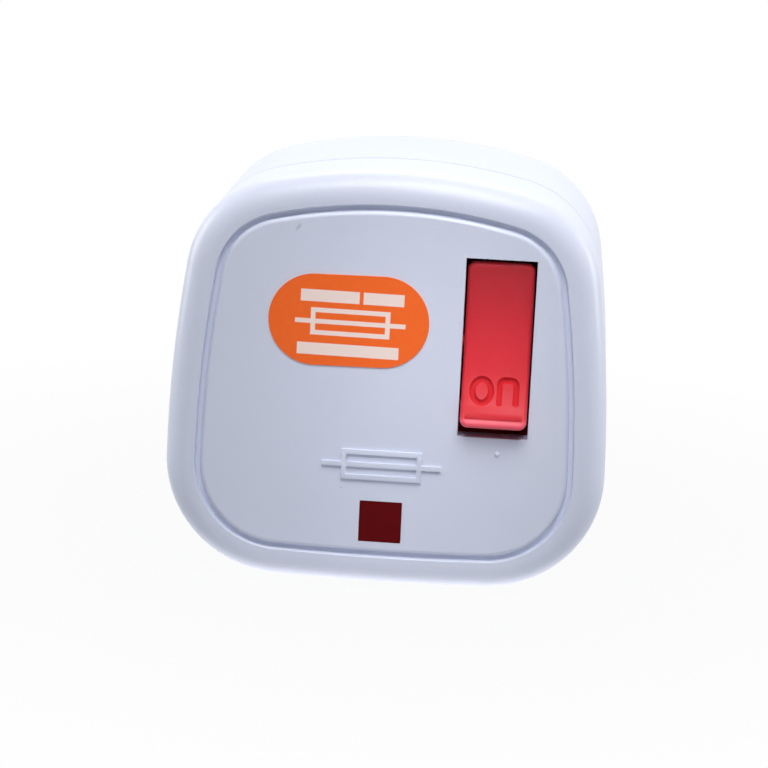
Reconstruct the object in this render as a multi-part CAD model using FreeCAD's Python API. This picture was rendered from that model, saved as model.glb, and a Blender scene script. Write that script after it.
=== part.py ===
import FreeCAD
import Part

import math
import os

# Switched, fused three-pin plug, in millimetres.
# +Z is up with the earth pin on top, the front faces -Y, and the pins point along +Y.
# The origin lies on the mating face, midway between the earth pin and the two current pins.
# "Depth" below is the distance in front of the mating face, so depth d lies at y = -d.

Vec = FreeCAD.Vector
X_AXIS = Vec(1, 0, 0)
Z_AXIS = Vec(0, 0, 1)

# Pins, as the standard for 13 A plugs gives them
pin_pitch = 22.2
current_pin_spacing = 22.2
earth_width = 4.0
earth_height = 8.0
earth_length = 22.7
current_width = 6.35
current_height = 4.0
current_length = 17.7
sleeve_length = 9.5
sleeve_root = 1.5
sleeve_wall = 0.5
pin_bevel = 0.8
pin_clearance = 0.05

# Outline of the front, seen from the front: four shallow arcs and four corner arcs
top_radius = 62.8
side_radius = 161.0
bottom_radius = 306.0
top_corner = 12.0
bottom_corner = 13.8
widest_rise = 12.1
side_room = 2.775
earth_headroom = 6.3
fuse_headroom = 10.5
bottom_room = 3.1

# Shells
cover_depth = 11.8
cover_flare = 0.27
base_flare = 0.5
cover_wall = 2.3
front_wall = 2.4
base_wall = 2.2
floor_thickness = 3.0
rim_rounding = 3.1
rear_rounding = 1.0
groove_inset = 4.1
groove_width = 0.8
groove_depth = 0.65
groove_rim_draft = 0.1
groove_panel_draft = 0.2
groove_rim_edge = 0.15
groove_panel_edge = 0.55
seam_width = 0.3
seam_depth = 0.25
lip_thickness = 1.0
lip_height = 1.6
lip_clearance = 0.1

# Rocker and its opening in the cover
boss_gap = 2.825
rocker_z = 1.7
opening_width = 8.15
opening_length = 21.0
rocker_width = 7.65
rocker_foot_width = 7.9
rocker_half_length = 9.6
rocker_stand = 0.9
rocker_lip = 1.1
rocker_lip_rise = 0.45
crease_above = 0.22
crease_below = 0.3
crease_depth = 0.2
crease_end = 0.6
rocker_scoop = 2.2
rocker_skirt = 3.5
rocker_keel = 2.6
rocker_keel_half = 3.2
rocker_skin = 1.2
rocker_corner = 0.9
rocker_edge = 0.45
pivot_inset = 3.6
pivot_radius = 0.9
pivot_clearance = 0.05
pivot_end_gap = 0.2
rocker_tilt = 7.5
tube_radius = 2.4
tube_length = 5.2
tube_bore = 1.5
tube_bore_rise = 0.9
tube_side_room = 0.5
plunger_radius = 1.4
plunger_tail = 2.2
tip_gap = 0.25
spring_turns = 4
spring_radius = 1.05
spring_wire = 0.2

# Switch frame and contacts
frame_clearance = 0.1
frame_wall = 1.3
frame_side_gap = 0.45
frame_end_room = 1.1
frame_corner = 1.5
frame_floor = 1.2
frame_height = 15.5
fuse_room = 2.22
pillar_width = 3.2
pillar_inset = 1.5
pillar_gap = 0.2
pillar_clearance = 0.15
side_pillar_width = 2.0
side_pillar_height = 3.0
side_pillar_drop = 8.0
strip_thickness = 0.8
strip_width = 4.0
line_strip_shift = 0.4
common_strip_room = 2.0
tab_margin = 0.5
slot_clearance = 0.1
fulcrum_half = 0.6
fulcrum_side = 0.2
fulcrum_clearance = 0.05
fulcrum_height = 3.3
arm_thickness = 1.0
arm_half_length = 7.6
arm_corner = 1.2
arm_tilt = 8.0
contact_offset = 6.5
contact_radius = 1.5
moving_contact = 0.7
fixed_contact = 0.4

# Fuse and clips
fuse_radius = 3.175
fuse_length = 25.4
fuse_cap = 5.5
fuse_cap_wall = 0.35
fuse_cap_rounding = 0.3
fuse_shift = 4.6
fuse_z = -1.8
clip_thickness = 0.6
clip_clearance = 0.03
clip_inset = 0.75
clip_mouth = 100.0

# Pin heads, terminals and their screws
head_half_width = 3.6
head_depth = 8.0
current_head_extra = 1.4
earth_head_extra = 0.5
hole_end = 1.5
strap_thickness = 1.8
strap_margin = 0.3
wire_hole = 2.0
wire_hole_rise = 3.4
screw_radius = 1.6
screw_clearance = 0.05
screw_head = 2.6
screw_head_height = 1.4
screw_head_room = 0.3
screw_slot_width = 0.8
screw_slot_depth = 0.7
screw_tip_gap = 0.4
terminal_shift = 0.9
terminal_gap = 2.1
terminal_half = 3.0
bridge_gap = 1.2
pocket_wall = 1.2
pocket_height = 4.0
pocket_clearance = 0.1

# Cord entry and grip
cord_hole = 4.5
cord_hole_depth = 12.0
cord_hole_rounding = 1.2
grip_rise = 6.9
grip_screw_x = 7.2
grip_boss = 2.8
grip_boss_depth = 14.5
grip_bar_half = 10.0
grip_bar_width = 5.6
grip_bar_thickness = 3.0
grip_bar_end = 2.5
grip_rib = 0.6
grip_screw_depth = 7.0
saddle_depth = 8.0
saddle_half = 1.2

# Cover screw
cover_screw_z = -5.0
tower_radius = 5.0
tower_depth = 8.0
counterbore_radius = 3.4
counterbore_depth = 5.5
cover_screw_radius = 1.7
cover_screw_head = 3.0
cover_screw_head_height = 2.0
cover_screw_length = 14.0
cover_boss = 4.2
insert_radius = 2.6
insert_length = 11.0
screw_hole_clearance = 0.25
screw_end_room = 1.0

# Neon lens, lamp, resistor and leads
lens_side = 4.94
lens_rise = 8.1
lens_clearance = 0.04
lens_flange = 1.0
lens_flange_margin = 1.2
lamp_radius = 2.0
lamp_length = 9.0
lamp_gap = 0.2
lamp_rounding = 1.2
cradle_thickness = 1.2
cradle_half = 3.0
cradle_inset = 1.2
cradle_mouth_half = 1.8
resistor_radius = 1.1
resistor_length = 6.2
resistor_gap = 3.2
resistor_rounding = 0.5
lead_radius = 0.3
lead_bend = 1.2
lead_run = 2.4
lead_rise = 2.5
neutral_lead_rise = 4.0

# Label on the front panel
label_x = -4.65
label_z = 4.1
label_length = 18.6
label_height = 10.7
label_thickness = 0.12
label_turn = 0.6

# Across the plug: from the cover screw's boss out to the side wall
frame_half_width = rocker_width / 2 + frame_side_gap + frame_wall
rocker_x = cover_boss + boss_gap + frame_half_width
fuse_x = rocker_x + fuse_shift
terminal_x = rocker_x + terminal_shift
half_width = fuse_x + fuse_radius + clip_thickness + side_room + base_wall

# Up the plug: from the pins and the fuse out to the top and bottom walls
earth_z = pin_pitch / 2
current_z = -pin_pitch / 2
current_x = current_pin_spacing / 2
terminal_z = fuse_z - fuse_length / 2 - terminal_gap - terminal_half
top_z = max(earth_z + earth_height / 2 + earth_headroom, fuse_z + fuse_length / 2 + fuse_headroom)
bottom_z = terminal_z - terminal_half - bottom_room - base_wall
widest_z = bottom_z + widest_rise
grip_z = bottom_z + grip_rise
lens_z = bottom_z + lens_rise
upper_clip_z = fuse_z + fuse_length / 2 - clip_inset - strip_width / 2
lower_clip_z = fuse_z - fuse_length / 2 + clip_inset + strip_width / 2
pillar_z = upper_clip_z + strip_width / 2 + pillar_clearance
frame_half_length = max(rocker_half_length + frame_end_room + frame_wall,
                        pillar_z + pillar_width + pillar_gap - rocker_z)

# Through the plug: from the mating face, past the fuse and the switch, to the front
head_top = floor_thickness + head_depth
fuse_base = floor_thickness + strap_thickness
fuse_depth = fuse_base + clip_thickness + clip_clearance + fuse_radius
frame_bottom = fuse_depth + fuse_radius + fuse_room
frame_deck = frame_bottom + frame_floor
frame_top = frame_bottom + frame_height
body_depth = frame_top + frame_clearance + front_wall
seam_depth_at = body_depth - cover_depth
pivot_depth = body_depth - pivot_inset
arm_pivot_depth = frame_deck + fulcrum_height
plunger_reach = pivot_depth - arm_pivot_depth - arm_thickness - tip_gap
lamp_depth = body_depth - front_wall - lens_flange - lamp_gap - lamp_radius


# Plain solids, given by depth in front of the mating face

def box(x0, x1, d0, d1, z0, z1):
    return Part.makeBox(x1 - x0, d1 - d0, z1 - z0, Vec(x0, -d1, z0))


def rod_out(x, z, radius, d0, d1):
    return Part.makeCylinder(radius, d1 - d0, Vec(x, -d0, z), Vec(0, -1, 0))


def rod_across(depth, z, radius, x0, x1):
    return Part.makeCylinder(radius, x1 - x0, Vec(x0, -depth, z), X_AXIS)


def rod_up(x, depth, radius, z0, z1):
    return Part.makeCylinder(radius, z1 - z0, Vec(x, -depth, z0), Z_AXIS)


def turned(shape, degrees, depth, z):
    # A copy turned about an axis along X
    copy = shape.copy()
    copy.rotate(Vec(0, -depth, z), X_AXIS, degrees)
    return copy


def fillet_where(shape, radius, chosen):
    edges = [edge for edge in shape.Edges if chosen(edge)]
    return shape.makeFillet(radius, edges)


# The plug's outline

def corner_centre(flat_centre, flat_radius, corner, below):
    # Centre of the corner arc that touches the side arc and the top or bottom arc from inside
    side_centre = Vec(half_width - side_radius, 0, widest_z)
    reach_a = flat_radius - corner
    reach_b = side_radius - corner
    span = side_centre - flat_centre
    along = (reach_a ** 2 - reach_b ** 2 + span.Length ** 2) / (2 * span.Length)
    across = math.sqrt(reach_a ** 2 - along ** 2)
    unit = span / span.Length
    square = Vec(-unit.z, 0, unit.x)
    foot = flat_centre + unit * along
    options = [foot + square * across, foot - square * across]
    return min(options, key=lambda p: p.z) if below else max(options, key=lambda p: p.z)


def mirrored(point):
    return Vec(-point.x, point.y, point.z)


def outline(grow, depth):
    # Closed outline, moved outwards by grow, at a depth
    side_centre = Vec(half_width - side_radius, 0, widest_z)
    top_centre = Vec(0, 0, top_z - top_radius)
    bottom_centre = Vec(0, 0, bottom_z + bottom_radius)
    upper = corner_centre(top_centre, top_radius, top_corner, False)
    lower = corner_centre(bottom_centre, bottom_radius, bottom_corner, True)

    def on_arc(centre, radius, towards):
        direction = towards - centre
        return centre + direction / direction.Length * (radius + grow)

    top = top_centre + Vec(0, 0, top_radius + grow)
    bottom = bottom_centre - Vec(0, 0, bottom_radius + grow)
    upper_a = on_arc(top_centre, top_radius, upper)
    upper_b = on_arc(side_centre, side_radius, upper)
    upper_mid = on_arc(upper, top_corner, (upper_a + upper_b) / 2)
    lower_b = on_arc(side_centre, side_radius, lower)
    lower_a = on_arc(bottom_centre, bottom_radius, lower)
    lower_mid = on_arc(lower, bottom_corner, (lower_a + lower_b) / 2)
    side_mid = on_arc(side_centre, side_radius, (upper_b + lower_b) / 2)
    right = [(mirrored(upper_a), top, upper_a), (upper_a, upper_mid, upper_b),
             (upper_b, side_mid, lower_b), (lower_b, lower_mid, lower_a),
             (lower_a, bottom, mirrored(lower_a))]
    left = [tuple(mirrored(point) for point in arc[::-1]) for arc in (right[3], right[2], right[1])]
    shift = Vec(0, -depth, 0)
    edges = [Part.Arc(*[point + shift for point in arc]).toShape() for arc in right + left]
    return Part.Wire(edges)


def slab(grow_a, depth_a, grow_b, depth_b):
    # Solid between two outlines
    return Part.makeLoft([outline(grow_a, depth_a), outline(grow_b, depth_b)], True, True)


def seam_ring(depth_a, depth_b):
    outside = slab(cover_flare + 1.0, depth_a, cover_flare + 1.0, depth_b)
    return outside.cut(slab(cover_flare - seam_depth, depth_a, cover_flare - seam_depth, depth_b))


# Front cover

def panel_groove():
    # Drafted channel round the flat front panel
    outer = -groove_inset + groove_width / 2
    inner = -groove_inset - groove_width / 2
    bottom = body_depth - groove_depth
    ring = slab(outer, body_depth, outer - groove_rim_draft, bottom)
    return ring.cut(slab(inner, body_depth, inner + groove_panel_draft, bottom))


def soften_groove(shell):
    # A sharp edge on the rim's side and a soft one on the panel's side
    middle = Part.Face(outline(-groove_inset, body_depth))

    def at_front(edge, inside):
        halfway = edge.valueAt((edge.FirstParameter + edge.LastParameter) / 2)
        return edge.BoundBox.YMax < -body_depth + 0.01 and middle.isInside(halfway, 0.01, True) == inside

    shell = fillet_where(shell, groove_panel_edge, lambda e: at_front(e, True))
    return fillet_where(shell, groove_rim_edge, lambda e: at_front(e, False))


def cover_shell():
    shell = slab(0, body_depth, cover_flare, seam_depth_at)
    shell = fillet_where(shell, rim_rounding, lambda e: e.BoundBox.YMax < -body_depth + 0.01)
    inside_front = body_depth - front_wall
    shell = shell.cut(slab(-cover_wall, inside_front, cover_flare - cover_wall, seam_depth_at - 1))
    shell = soften_groove(shell.cut(panel_groove()))
    return shell.cut(seam_ring(seam_depth_at, seam_depth_at + seam_width / 2))


def cover_lip():
    # Register lip that nests inside the base's rim
    outer = cover_flare - base_wall + lip_thickness
    top = seam_depth_at + lip_height
    foot = seam_depth_at - lip_height + lip_clearance
    ring = slab(outer, top, outer, foot)
    return ring.cut(slab(outer - lip_thickness, top, outer - lip_thickness, foot))


def rocker_opening():
    half_w = opening_width / 2
    half_l = opening_length / 2
    return box(rocker_x - half_w, rocker_x + half_w, body_depth - front_wall - 1, body_depth + 1,
               rocker_z - half_l, rocker_z + half_l)


def lens_opening():
    half = lens_side / 2 + lens_clearance
    return box(-half, half, body_depth - front_wall - 1, body_depth + 1, lens_z - half, lens_z + half)


def lamp_cradle(side):
    # Rib with a round notch that holds one end of the lamp
    x = side * (lamp_length / 2 - cradle_inset)
    rib = box(x - cradle_thickness / 2, x + cradle_thickness / 2, lamp_depth - lamp_radius / 2,
              body_depth - front_wall, lens_z - cradle_half, lens_z + cradle_half)
    notch = rod_across(lamp_depth, lens_z, lamp_radius + lens_clearance, x - 1, x + 1)
    mouth = box(x - 1, x + 1, 0, lamp_depth, lens_z - cradle_mouth_half, lens_z + cradle_mouth_half)
    half = lens_side / 2 + lens_flange_margin + lens_clearance
    flange_room = box(-half, half, body_depth - front_wall - lens_flange - lens_clearance, body_depth,
                      lens_z - half, lens_z + half)
    return rib.cut(notch.fuse([mouth, flange_room]))


def front_cover():
    cover = cover_shell().fuse(cover_lip())
    boss = rod_out(0, cover_screw_z, cover_boss, tower_depth, body_depth - front_wall + 0.5)
    cover = cover.fuse([boss, lamp_cradle(-1), lamp_cradle(1)])
    insert_hole = rod_out(0, cover_screw_z, insert_radius, tower_depth - 1, tower_depth + insert_length)
    screw_tip = rod_out(0, cover_screw_z, cover_screw_radius + screw_hole_clearance, tower_depth,
                        counterbore_depth + cover_screw_length + screw_end_room)
    cover = cover.cut(insert_hole.fuse([screw_tip, rocker_opening(), lens_opening()]))
    return cover.removeSplitter()


# Rear base

def base_shell():
    rear_grow = cover_flare + base_flare
    shell = slab(cover_flare, seam_depth_at, rear_grow, 0)
    shell = fillet_where(shell, rear_rounding, lambda e: e.BoundBox.YMin > -0.01)
    inside = rear_grow - base_wall
    shell = shell.cut(slab(cover_flare - base_wall, seam_depth_at + 1, inside, floor_thickness))
    rebate = cover_flare - base_wall + lip_thickness + lip_clearance
    shell = shell.cut(slab(rebate, seam_depth_at + 1, rebate, seam_depth_at - lip_height))
    return shell.cut(seam_ring(seam_depth_at - seam_width / 2, seam_depth_at + 0.5))


def pocket(x, z, half_x, half_z):
    # Low wall round a pin's head
    inner_x = half_x + pocket_clearance
    inner_z = half_z + pocket_clearance
    outer_x = inner_x + pocket_wall
    outer_z = inner_z + pocket_wall
    top = floor_thickness + pocket_height
    ring = box(x - outer_x, x + outer_x, floor_thickness, top, z - outer_z, z + outer_z)
    ring = ring.cut(box(x - inner_x, x + inner_x, floor_thickness, top + 1, z - inner_z, z + inner_z))
    lower_gap = box(x - wire_hole, x + wire_hole, floor_thickness + 1, top + 1, z - outer_z, z)
    return ring.cut(lower_gap)


def frame_pillars():
    # Two posts that the switch frame stands on, clear of the fuse
    left = rocker_x - frame_half_width
    upper_x = left + pillar_inset
    upper = box(upper_x, upper_x + pillar_width, floor_thickness, frame_bottom, pillar_z,
                pillar_z + pillar_width)
    side_x = left + pillar_gap
    side_z = rocker_z - side_pillar_drop
    side = box(side_x, side_x + side_pillar_width, floor_thickness, frame_bottom, side_z,
               side_z + side_pillar_height)
    return upper.fuse(side)


def clip_pedestal():
    reach = fuse_radius + clip_thickness
    return box(fuse_x - reach, fuse_x + reach, floor_thickness, fuse_base - strip_thickness,
               upper_clip_z - strip_width / 2, upper_clip_z + strip_width / 2)


def cord_saddle():
    # Bosses for the grip screws, joined by a rib hollowed for the cord
    rib = box(-grip_screw_x, grip_screw_x, floor_thickness, saddle_depth, grip_z - saddle_half,
              grip_z + saddle_half)
    reach = saddle_half + 1
    rib = rib.cut(rod_up(0, cord_hole_depth, cord_hole, grip_z - reach, grip_z + reach))
    bosses = [rod_out(side * grip_screw_x, grip_z, grip_boss, floor_thickness, grip_boss_depth)
              for side in (-1, 1)]
    return rib.fuse(bosses)


def cord_entry():
    low = bottom_z - cover_flare - base_flare
    hole = rod_up(0, cord_hole_depth, cord_hole, low - 1, low + base_wall + 1)
    mouth = Part.makeCone(cord_hole + cord_hole_rounding, cord_hole, cord_hole_rounding,
                          Vec(0, -cord_hole_depth, low), Z_AXIS)
    return hole.fuse(mouth)


def pin_hole(x, z, width, height):
    half_w = width / 2 + pin_clearance
    half_h = height / 2 + pin_clearance
    return box(x - half_w, x + half_w, -1, floor_thickness + 1, z - half_h, z + half_h)


def rear_base():
    base = base_shell()
    head_half_height = current_height / 2 + current_head_extra
    walls = [pocket(-current_x, current_z, head_half_width, head_half_height),
             pocket(0, earth_z, head_half_width, earth_height / 2 + earth_head_extra),
             rod_out(0, cover_screw_z, tower_radius, floor_thickness, tower_depth),
             frame_pillars(), clip_pedestal(), cord_saddle()]
    base = base.fuse(walls)
    cuts = [pin_hole(0, earth_z, earth_width, earth_height),
            pin_hole(current_x, current_z, current_width, current_height),
            pin_hole(-current_x, current_z, current_width, current_height),
            rod_out(0, cover_screw_z, counterbore_radius, -1, counterbore_depth),
            rod_out(0, cover_screw_z, cover_screw_radius + screw_hole_clearance, 0, tower_depth + 1),
            cord_entry()]
    for side in (-1, 1):
        hole = screw_radius + screw_clearance
        cuts.append(rod_out(side * grip_screw_x, grip_z, hole, grip_screw_depth - 1, grip_boss_depth + 1))
    return base.cut(cuts).removeSplitter()


# Pins and sleeves

def blade(x, z, width, height, length):
    # Bar from the base's floor to the pin's tip, its tip bevelled all round
    bar = box(x - width / 2, x + width / 2, -length, floor_thickness, z - height / 2, z + height / 2)
    ends = [edge for edge in bar.Edges if edge.BoundBox.YMin > length - 0.01]
    return bar.makeChamfer(pin_bevel, ends)


def sleeve_bar(x, grow):
    half_w = current_width / 2 - sleeve_wall + grow
    half_h = current_height / 2 - sleeve_wall + grow
    return box(x - half_w, x + half_w, -sleeve_length, sleeve_root, current_z - half_h, current_z + half_h)


def pin_sleeve(x):
    return sleeve_bar(x, sleeve_wall).cut(sleeve_bar(x, 0))


def terminal_hole(x, z, top):
    hole = screw_radius + screw_clearance
    return rod_out(x, z, hole, floor_thickness + wire_hole_rise, top + 1)


def neutral_pin():
    x = -current_x
    pin = blade(x, current_z, current_width, current_height, current_length).cut(pin_sleeve(x))
    half_h = current_height / 2 + current_head_extra
    head = box(x - head_half_width, x + head_half_width, floor_thickness, head_top, current_z - half_h,
               current_z + half_h)
    wire = rod_up(x, floor_thickness + wire_hole_rise, wire_hole, current_z - half_h - 1,
                  current_z + half_h - hole_end)
    return pin.fuse(head).cut(wire.fuse(terminal_hole(x, current_z, head_top))).removeSplitter()


def earth_pin():
    pin = blade(0, earth_z, earth_width, earth_height, earth_length)
    half_h = earth_height / 2 + earth_head_extra
    head = box(-head_half_width, head_half_width, floor_thickness, head_top, earth_z - half_h,
               earth_z + half_h)
    wire = rod_up(0, floor_thickness + wire_hole_rise, wire_hole, earth_z - half_h - 1,
                  earth_z + half_h - hole_end)
    return pin.fuse(head).cut(wire.fuse(terminal_hole(0, earth_z, head_top))).removeSplitter()


def live_pin():
    # Blade with a strap that carries the lower fuse clip
    pin = blade(current_x, current_z, current_width, current_height, current_length)
    pin = pin.cut(pin_sleeve(current_x))
    left = current_x - current_width / 2 - strap_margin
    right = fuse_x + fuse_radius + clip_thickness
    low = min(current_z - current_height / 2, lower_clip_z - strip_width / 2) - strap_margin
    high = max(current_z + current_height / 2, lower_clip_z + strip_width / 2) + strap_margin
    return pin.fuse(box(left, right, floor_thickness, fuse_base, low, high)).removeSplitter()


def live_terminal():
    block = box(terminal_x - terminal_half, terminal_x + terminal_half, floor_thickness, head_top,
                terminal_z - terminal_half, terminal_z + terminal_half)
    wire = rod_across(floor_thickness + wire_hole_rise, terminal_z, wire_hole,
                      terminal_x - terminal_half - 1, terminal_x + terminal_half - hole_end)
    return block.cut(wire.fuse(terminal_hole(terminal_x, terminal_z, head_top)))


def slotted_screw(x, z, seat, tip, radius, head, head_height):
    # Cheese-head screw driven from the front, its head on the seat
    screw = rod_out(x, z, radius, tip, seat).fuse(rod_out(x, z, head, seat, seat + head_height))
    top = seat + head_height
    slot = box(x - head - 1, x + head + 1, top - screw_slot_depth, top + 1, z - screw_slot_width / 2,
               z + screw_slot_width / 2)
    return screw.cut(slot).removeSplitter()


def terminal_screw(x, z, seat):
    tip = floor_thickness + wire_hole_rise + screw_tip_gap
    return slotted_screw(x, z, seat, tip, screw_radius, screw_head, screw_head_height)


# Fuse and clips

def fuse_body():
    # Ceramic tube, a little thinner where the caps fit over it
    half = fuse_length / 2
    tube = rod_up(fuse_x, fuse_depth, fuse_radius - fuse_cap_wall / 2, fuse_z - half + fuse_cap,
                  fuse_z + half - fuse_cap)
    core = rod_up(fuse_x, fuse_depth, fuse_radius - fuse_cap_wall, fuse_z - half + fuse_cap_wall,
                  fuse_z + half - fuse_cap_wall)
    return tube.fuse(core).removeSplitter()


def fuse_end_cap(side):
    half = fuse_length / 2
    ends = sorted([fuse_z + side * half, fuse_z + side * (half - fuse_cap)])
    inner = sorted([fuse_z + side * (half - fuse_cap_wall), fuse_z + side * (half - fuse_cap)])
    cap = rod_up(fuse_x, fuse_depth, fuse_radius, ends[0], ends[1])
    cap = fillet_where(cap, fuse_cap_rounding, lambda e: abs(e.BoundBox.ZMin - (fuse_z + side * half)) < 0.01
                       and e.BoundBox.ZLength < 0.01)
    return cap.cut(rod_up(fuse_x, fuse_depth, fuse_radius - fuse_cap_wall, inner[0], inner[1]))


def spring_clip(z):
    # Round-backed spring clip, open to the front, on a flat foot
    inner = fuse_radius + clip_clearance
    low = z - strip_width / 2
    high = z + strip_width / 2
    clip = rod_up(fuse_x, fuse_depth, inner + clip_thickness, low, high)
    foot = box(fuse_x - inner, fuse_x + inner, fuse_base, fuse_base + clip_thickness, low, high)
    half_mouth = inner * math.sin(math.radians(clip_mouth / 2))
    mouth = box(fuse_x - half_mouth, fuse_x + half_mouth, fuse_depth, fuse_depth + 2 * fuse_radius, low - 1,
                high + 1)
    return clip.fuse(foot).cut(rod_up(fuse_x, fuse_depth, inner, low - 1, high + 1).fuse(mouth))


def line_contact():
    # One bent strip: under the upper fuse clip, forward into the switch, and under the moving contact
    low = upper_clip_z - strip_width / 2
    high = upper_clip_z + strip_width / 2
    left = rocker_x - strip_width / 2 - line_strip_shift
    right = fuse_x + fuse_radius + clip_thickness
    tab_end = rocker_x + contact_radius + tab_margin
    tab_top = frame_deck + strip_thickness
    foot = box(left, right, fuse_base - strip_thickness, fuse_base, low, high)
    riser = box(left, left + strip_thickness, fuse_base - strip_thickness, tab_top, low, high)
    tab = box(left, tab_end, frame_deck, tab_top, low, high)
    rivet = rod_out(rocker_x, rocker_z + contact_offset, contact_radius, tab_top, tab_top + fixed_contact)
    return foot.fuse([riser, tab, rivet, spring_clip(upper_clip_z)]).removeSplitter()


def fuse_clip_lower():
    return spring_clip(lower_clip_z)


# Switch

def pivot_notch(grow, x0, x1):
    # Slot for the rocker's pivots, open to the front
    radius = pivot_radius + grow
    slot = box(x0, x1, pivot_depth, frame_top + 1, rocker_z - radius, rocker_z + radius)
    return slot.fuse(rod_across(pivot_depth, rocker_z, radius, x0, x1))


def frame_slots():
    # Ways through the floor for the two contact strips
    left = rocker_x - strip_width / 2 - line_strip_shift - slot_clearance
    thick = strip_thickness + 2 * slot_clearance
    half = strip_width / 2 + slot_clearance
    below = frame_bottom - 1
    above = frame_deck + 1
    line = box(left, left + thick, below, above, upper_clip_z - half, upper_clip_z + half)
    end = rocker_z - arm_half_length - common_strip_room - slot_clearance
    common = box(rocker_x - half, rocker_x + half, below, above, end, end + thick)
    return line.fuse(common)


def switch_frame():
    # Open-fronted box that carries the rocker's pivots and the contacts
    outer = frame_half_width
    inner = outer - frame_wall
    shell = box(rocker_x - outer, rocker_x + outer, frame_bottom, frame_top, rocker_z - frame_half_length,
                rocker_z + frame_half_length)
    shell = fillet_where(shell, frame_corner, lambda e: e.BoundBox.YLength > frame_floor * 2)
    inside = frame_half_length - frame_wall
    hollow = box(rocker_x - inner, rocker_x + inner, frame_deck, frame_top + 1, rocker_z - inside,
                 rocker_z + inside)
    notch = pivot_notch(pivot_clearance, rocker_x - outer - 1, rocker_x + outer + 1)
    return shell.cut(hollow.fuse([notch, frame_slots()])).removeSplitter()


def common_contact():
    # One bent strip: fulcrum, along the switch's floor, through it and onto the live terminal
    half = strip_width / 2
    left = rocker_x - half
    right = rocker_x + half
    end = rocker_z - arm_half_length - common_strip_room
    bridge = head_top + bridge_gap
    post = box(left + fulcrum_side, right - fulcrum_side, frame_deck, arm_pivot_depth,
               rocker_z - fulcrum_half, rocker_z + fulcrum_half)
    edge = rod_across(arm_pivot_depth, rocker_z, fulcrum_half, left + fulcrum_side, right - fulcrum_side)
    deck = box(left, right, frame_deck, frame_deck + strip_thickness, end, rocker_z + fulcrum_half)
    drop = box(left, right, bridge, frame_deck, end, end + strip_thickness)
    landing = terminal_z + screw_head + screw_head_room
    span = box(left, right, bridge, bridge + strip_thickness, landing, end + strip_thickness)
    step = box(left, right, head_top, bridge, landing, landing + strip_thickness)
    tab = box(left, right, head_top, head_top + strip_thickness, terminal_z - terminal_half,
              landing + strip_thickness)
    hole = rod_out(terminal_x, terminal_z, screw_radius + screw_clearance, head_top - 1, head_top + 2)
    return post.fuse([edge, deck, drop, span, step, tab]).cut(hole).removeSplitter()


def contact_arm():
    # Seesaw arm on the fulcrum, shown with the switch off: lower end back, contact open
    half = strip_width / 2
    arm = box(rocker_x - half, rocker_x + half, arm_pivot_depth, arm_pivot_depth + arm_thickness,
              rocker_z - arm_half_length, rocker_z + arm_half_length)
    arm = fillet_where(arm, arm_corner, lambda e: e.BoundBox.YLength > arm_thickness / 2
                       and e.BoundBox.XLength < 0.01 and e.BoundBox.ZLength < 0.01)
    groove = rod_across(arm_pivot_depth, rocker_z, fulcrum_half + fulcrum_clearance, rocker_x - half - 1,
                        rocker_x + half + 1)
    rivet = rod_out(rocker_x, rocker_z + contact_offset, contact_radius, arm_pivot_depth - moving_contact,
                    arm_pivot_depth)
    arm = arm.cut(groove).fuse(rivet).removeSplitter()
    return turned(arm, arm_tilt, arm_pivot_depth, rocker_z)


def rocker_profile():
    # Side view of the rocker: a long scoop, a lip that banks outwards below it, a tapered back
    face = pivot_depth + pivot_inset + rocker_stand

    def at(depth, z):
        return Vec(rocker_x - rocker_foot_width / 2, -depth, rocker_z + z)

    length = rocker_half_length
    skirt = face - rocker_skirt
    keel = pivot_depth - rocker_keel
    lip = at(face - rocker_lip_rise, rocker_lip - length)
    scoop = Part.Arc(at(face, length), at(face - rocker_scoop, 0), lip).toShape()
    corners = [lip, at(face, -length), at(skirt, -length), at(keel, -rocker_keel_half),
               at(keel, rocker_keel_half), at(skirt, length), at(face, length)]
    lines = [Part.LineSegment(a, b).toShape() for a, b in zip(corners, corners[1:])]
    return Part.Face(Part.Wire([scoop] + lines))


def rocker_taper():
    # Drafted sides: narrow at the face and wide at the foot
    face = pivot_depth + pivot_inset + rocker_stand
    foot = pivot_depth - rocker_keel
    half_face = rocker_width / 2
    half_foot = rocker_foot_width / 2
    z = rocker_z - rocker_half_length - 1
    corners = [Vec(rocker_x - half_face, -face, z), Vec(rocker_x + half_face, -face, z),
               Vec(rocker_x + half_foot, -foot, z), Vec(rocker_x - half_foot, -foot, z)]
    section = Part.Face(Part.makePolygon(corners + corners[:1]))
    return section.extrude(Vec(0, 0, 2 * rocker_half_length + 2))


def lip_crease():
    # Fine crease where the scoop meets the lip, short of the sides
    root = pivot_depth + pivot_inset + rocker_stand - rocker_lip_rise
    z = rocker_z - rocker_half_length + rocker_lip
    half = rocker_width / 2 - crease_end
    corners = [Vec(rocker_x - half, -root - crease_depth, z + crease_above),
               Vec(rocker_x - half, -root + crease_depth, z),
               Vec(rocker_x - half, -root - crease_depth, z - crease_below)]
    return Part.Face(Part.makePolygon(corners + corners[:1])).extrude(Vec(2 * half, 0, 0))


def rocker_solid():
    solid = rocker_profile().extrude(Vec(rocker_foot_width, 0, 0)).common(rocker_taper()).Solids[0]
    reach = rocker_half_length - 0.01
    solid = fillet_where(solid, rocker_corner, lambda e: abs(e.CenterOfMass.z - rocker_z) > reach
                         and e.BoundBox.XLength < rocker_width / 2)
    skirt = pivot_depth + pivot_inset + rocker_stand - rocker_skirt
    solid = fillet_where(solid, rocker_edge, lambda e: e.BoundBox.YMax < -skirt - 0.1
                         and (abs(e.CenterOfMass.x - rocker_x) > 0.1
                              or abs(e.CenterOfMass.z - rocker_z) > reach))
    return solid.cut(lip_crease())


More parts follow.
